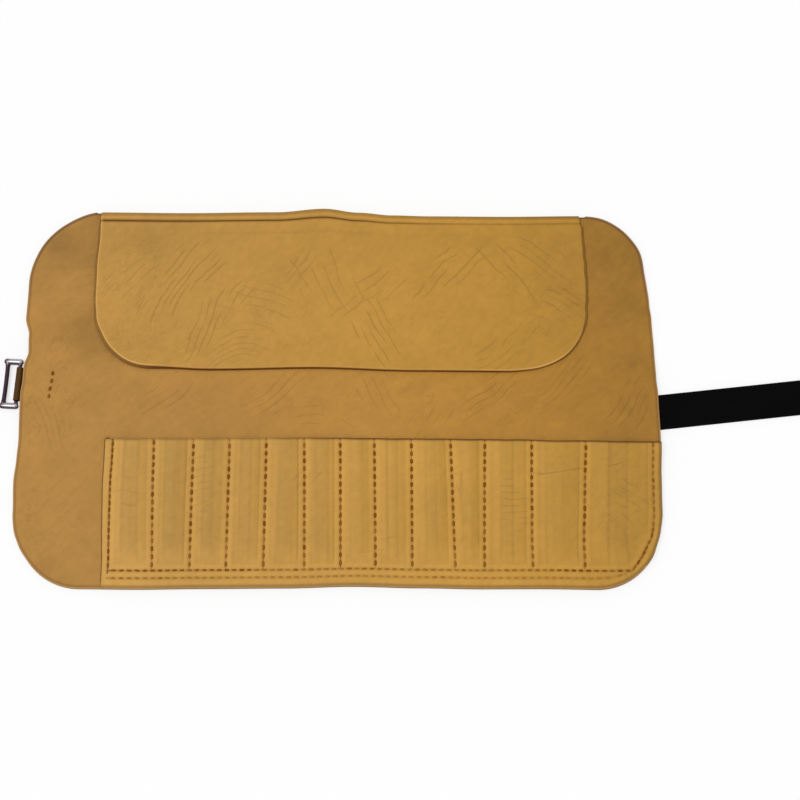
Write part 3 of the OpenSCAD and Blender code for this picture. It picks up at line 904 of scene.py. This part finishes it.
def stitch_row(corners, pitch=STITCH_PITCH):
    """Middles and directions of the stitches along a line drawn through corners."""
    row = []
    for start, end in zip(corners[:-1], corners[1:]):
        start, run = np.array(start, float), np.subtract(end, start)
        count = int(np.linalg.norm(run) // pitch)
        row += [(start + run * t, unit(run)) for t in (np.arange(count) + 0.5) / count]
    return row


def panel_top(x, y):
    return sheet_top(x, y) + PANEL_GAP + POCKET_T - 0.3


def sheet_back(x, y):
    """Where thread lies in the sheet's underside, clear of the table."""
    return sheet_under(x, y) + 0.42


def stitches(name, places, fade, radius=THREAD_R, top=panel_top, bottom=sheet_back,
             moved=panel_warp):
    """Bent lengths of thread: each leaves one hole and enters the next, on both faces.

    fade gives how much of its colour a stitch has lost at a point, from 0 to 1."""
    lengths, wear_and_highlight = [], []
    for middle, direction in places:
        slant = random.normal(0, 0.07)
        turned = direction + slant * np.array([-direction[1], direction[0]])
        length = random.uniform(0.88, 1.08)
        flat = middle + STITCH_AT[:, None] * length * turned
        wx, wy = moved(flat[:, 0], flat[:, 1])
        faded = np.clip(fade(*middle) + random.normal(0, 0.15), 0, 1)
        slim = radius * (1 - 0.35 * faded)
        for level, way in ((top, 1), (bottom, -1)):
            z = level(flat[:, 0], flat[:, 1])
            path = np.column_stack([wx, wy, z.mean() + 0.6 * (z - z.mean()) + way * STITCH_BOW])
            lengths.append(tube(path, slim * STITCH_TAPER, 8, squeeze=0.6))
            wear_and_highlight.append(np.full(len(lengths[-1][0]), faded))
    points, faces = merged(lengths)
    piece = add_mesh(name, points, faces, thread,
                     {"rest": points * MM, "fade": np.hstack(wear_and_highlight)})
    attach(piece, "sheet")
    return piece


divider_places = []
for seam in SEAMS[1:-1]:
    start = MOUTH_Y - 2.2 * (seam > SEAMS[1])
    divider_places += stitch_row([(seam, start), (seam, BASE_SEAM + 1)])
divider_stitches = stitches("divider_thread", divider_places,
                            lambda x, y: 0.12 + 0.15 * (y < -75))
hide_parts("divider_stitches")


def edge_fade(x, y):
    """The outer row has faded most along the front and least at the left and in the corner."""
    if x < FIRST_SEAM + 1:
        return 0.4 * (y < -100)
    if y < -100:
        return 0.75 + 0.2 * rise(-110, -60, x)
    return 0.2 if y < CORNER_SEAM[-1][1] else 0.45


edge_places = stitch_row([(FIRST_SEAM, MOUTH_Y - 1), (FIRST_SEAM, OUTER_SEAM + 1)], 3.8)
edge_places += stitch_row([(FIRST_SEAM + 1, OUTER_SEAM), *OUTER_END])
edge_places += stitch_row(CORNER_SEAM, 2.6)
edge_places += stitch_row([CORNER_SEAM[-1], (CORNER_SEAM[-1][0], MOUTH_Y)])
edge_stitches = stitches("edge_thread", edge_places, edge_fade, EDGE_THREAD_R)
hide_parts("edge_stitches")

base_stitches = stitches("base_thread", stitch_row([(FIRST_SEAM + 1, BASE_SEAM), CORNER_SEAM[0]]),
                         lambda x, y: 0.15 + 0.5 * rise(-60, -30, x) * rise(130, 105, x),
                         EDGE_THREAD_R)
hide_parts("base_stitches")

strap_way = np.array([math.cos(LEAN), -math.sin(LEAN)])
strap_side = np.array([math.sin(LEAN), math.cos(LEAN)])
anchor_middle = BAR[:2] + strap_way * ANCHOR_SEAM
anchor_places = stitch_row([anchor_middle - strap_side * 9, anchor_middle + strap_side * 9])
anchor_stitches = stitches("anchor_thread", anchor_places, lambda x, y: 0.1,
                           top=lambda x, y: sheet_top(x, y) - 0.1,
                           bottom=lambda x, y: np.full_like(x, 0.75), moved=warp)
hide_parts("anchor_stitches")

# ---- The strap ----

STRAP_ROUND = 0.7


def build_strap():
    loop_r = BAR_R + BAR_PLAY + LOOP_T / 2
    # The skived end lies on the strap, turns round the ring's bar and becomes the strap.
    end_s = np.array([15, 12, 8, 4.5, 2.6])
    turn = np.radians(np.linspace(-12, 270, 30))
    loop = np.column_stack([loop_r * np.cos(turn), BAR[2] + loop_r * np.sin(turn)])
    from_tip = TIP_L * np.array([1, 0.8, 0.6, 0.45, 0.3, 0.2, 0.12, 0.05, 0.01])
    run_s = np.hstack([[1.2, 2.5, 5, 8, 11, 14, 17, 20, 22, 24, 26],
                       np.arange(30, STRAP_L - TIP_L, 5), STRAP_L - from_tip])
    run_t = LOOP_T + (STRAP_T - 0.1 - LOOP_T) * rise(13, 19, run_s)
    s = np.hstack([end_s, loop[:, 0], run_s])
    z = np.hstack([[1.5] * len(end_s), loop[:, 1], 0.03 + run_t / 2])
    thick = np.hstack([[0.3, 0.6], [LOOP_T] * (3 + len(turn)), run_t])
    tip = np.clip((s - (STRAP_L - TIP_L)) / TIP_L, 0, 1)
    half = (STRAP_W / 2 - STRAP_ROUND) * (1 - 0.86 * tip**2.6) - 0.4 * (s < 16)
    centre = np.column_stack([np.interp(s, STRAP_S, STRAP_LINE[:, k]) for k in (0, 1)])
    behind = s < 0
    centre[behind] = BAR[:2] + s[behind, None] * strap_way
    heading = strap_heading(s)
    side = np.column_stack([-np.sin(heading), np.cos(heading)])
    u = np.array([-1, -0.93, -0.8, -0.5, 0, 0.5, 0.8, 0.93, 1])
    across = half[:, None] * u
    xy = centre[:, None] + across[..., None] * side[:, None]
    middle = np.concatenate([xy, np.broadcast_to(z[:, None, None], (*across.shape, 1))], -1)
    along = np.hstack([[0], np.cumsum(np.hypot(np.diff(s), np.diff(z)))])
    flat = np.stack([np.broadcast_to(along[:, None], across.shape), across], -1)
    # Columns run along +X, so they are the strap's length.
    middle, flat = middle.transpose(1, 0, 2), flat.transpose(1, 0, 2)
    turned = 0.95 * rise(4.5, 2.5, s)[None, :]
    return slab("strap", middle, flat, thick[None, :], STRAP_ROUND, strap_leather,
                {"painted_shade_and_brown": turned, "under": turned})


strap = build_strap()
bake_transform(strap)
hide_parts("strap_anchor", "strap_tail")

# ---- The ring ----


def build_ring():
    """Two long bars that run into thicker shoulders, which reach past the outer bar."""
    half = RING_W / 2
    tubes, bright = [], []
    along = np.sin(np.radians(np.linspace(-90, 90, 25)))
    half_l = (RING_D + SHOULDER_PAST) / 2
    for side in (-1, 1):
        x = (half_l + SHOULDER_R) * 0.999 * along - half_l
        past = np.maximum(np.abs(x + half_l) - half_l, 0)
        radii = np.sqrt(np.maximum(SHOULDER_R**2 - past**2, 0.0004)) * (1 - 0.06 * along**2)
        path = np.column_stack([x, np.full_like(x, side * half), 0 * x])
        tubes.append(tube(path, radii, 18))
        # Painted reflection round each shoulder, from its front, which is dark, over its top; its
        # outer end is dark too
        facing = np.cos(np.linspace(0, 2 * math.pi, 18, endpoint=False))
        ends = 0.12 + 0.88 * rise(-RING_D - 1.2, -RING_D + 2.2, x)
        bright.append((ends[:, None] * (1 - 0.9 * rise(0, 0.7, facing))).ravel())
    for x in (0, -RING_D):
        y = np.linspace(-half, half, 25)
        radii = BAR_R + (0.25 if x else 0) + 0.4 * rise(half - 3.2, half - 0.8, np.abs(y))
        bow = 0.25 * (x < 0) * (1 - (y / half) ** 2)
        path = np.column_stack([x + bow, y, 0 * y])
        tubes.append(tube(path, radii, 14))
        # Painted reflection: each bar is dark, a little brighter by its ends
        bright.append(np.repeat(0.35 * rise(half - 2, half - 0.8, np.abs(y)), 14))
    points, faces = merged(tubes)
    turned = np.array(Matrix.Rotation(RING_DROOP, 3, "Y") @ Matrix.Rotation(LEAN, 3, "Z"))
    return add_mesh("ring_metal", points @ turned + BAR, faces, nickel,
                    {"rest": points * MM, "bright": np.hstack(bright)})


ring = build_ring()
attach(ring, "ring")
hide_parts("ring")

# ---- Floor, light and camera ----

KEY_SHARE, WORLD_LEVEL = 0.42, 0.59
# The floor's reach and height in metres, its colour and its own white glow
FLOOR_REACH, FLOOR_Z = 6, -0.00004
FLOOR_WHITE, FLOOR_GLOW = (0.97, 0.97, 0.97, 1), 0.65


def seen_rays(tree):
    """1 for rays from the camera, a mirror or glass."""
    path = add_node(tree, "LightPath", {})
    seen = 0
    for kind in ("Camera", "Glossy", "Transmission"):
        seen = add_node(tree, "Math", {0: seen, 1: path.outputs[f"Is {kind} Ray"]},
                        operation="MAXIMUM").outputs[0]
    return seen


def show(tree, share, plain, white, output):
    """Shows two shaders, mixed by a share of the second."""
    mixed = add_node(tree, "MixShader", {0: share, 1: plain.outputs[0], 2: white})
    feed(tree, tree.nodes[output].inputs["Surface"], mixed.outputs[0])


def make_floor():
    mesh = bpy.data.meshes.new("floor")
    r = FLOOR_REACH
    mesh.from_pydata([(x, y, FLOOR_Z) for x, y in ((-r, -r), (r, -r), (r, r), (-r, r))],
                     [], [(0, 1, 2, 3)])
    s = Shader("floor_white", roughness=1, specular=0)
    s.surface.inputs["Base Color"].default_value = FLOOR_WHITE
    glow = s.node("Emission", {"Strength": 1})
    share = s.math("MULTIPLY", seen_rays(s.tree), FLOOR_GLOW)
    show(s.tree, share, s.surface, glow, "Material Output")
    mesh.materials.append(s.material)
    floor = add_object("floor", mesh)


def make_world():
    world = bpy.data.worlds.new("studio")
    world.use_nodes = True
    tree = world.node_tree
    light = tree.nodes["Background"]
    light.inputs["Color"].default_value = WHITE
    light.inputs["Strength"].default_value = WORLD_LEVEL
    white = add_node(tree, "Background", {"Strength": 1, "Color": WHITE})
    show(tree, seen_rays(tree), light, white.outputs[0], "World Output")
    scene.world = world


def make_key_light():
    """A broad soft lamp, high at the left, as strong as KEY_SHARE asks."""
    lamp = bpy.data.lights.new("key", "SUN")
    direction = Vector((-0.40, -0.12, 1)).normalized()
    lamp.energy = KEY_SHARE * math.pi / direction.z
    lamp.angle = math.radians(35)
    add_object("key", lamp).rotation_euler = direction.to_track_quat("Z", "Y").to_euler()


CAMERA_TARGET = Vector((0.0345, -0.0025, 0))
CAMERA_ELEVATION = math.radians(76)
CAMERA_DISTANCE = 0.80
CAMERA_LENS = 63


def make_camera():
    data = bpy.data.cameras.new("camera")
    data.lens, data.sensor_width = CAMERA_LENS, 36
    data.clip_start, data.clip_end = 0.02, 30
    camera = add_object("camera", data)
    back = Vector((0, -math.cos(CAMERA_ELEVATION), math.sin(CAMERA_ELEVATION)))
    camera.location = CAMERA_TARGET + back * CAMERA_DISTANCE
    camera.rotation_euler = back.to_track_quat("Z", "Y").to_euler()
    scene.camera = camera


make_floor()
make_world()
make_key_light()
make_camera()
scene.view_settings.view_transform = "Standard"
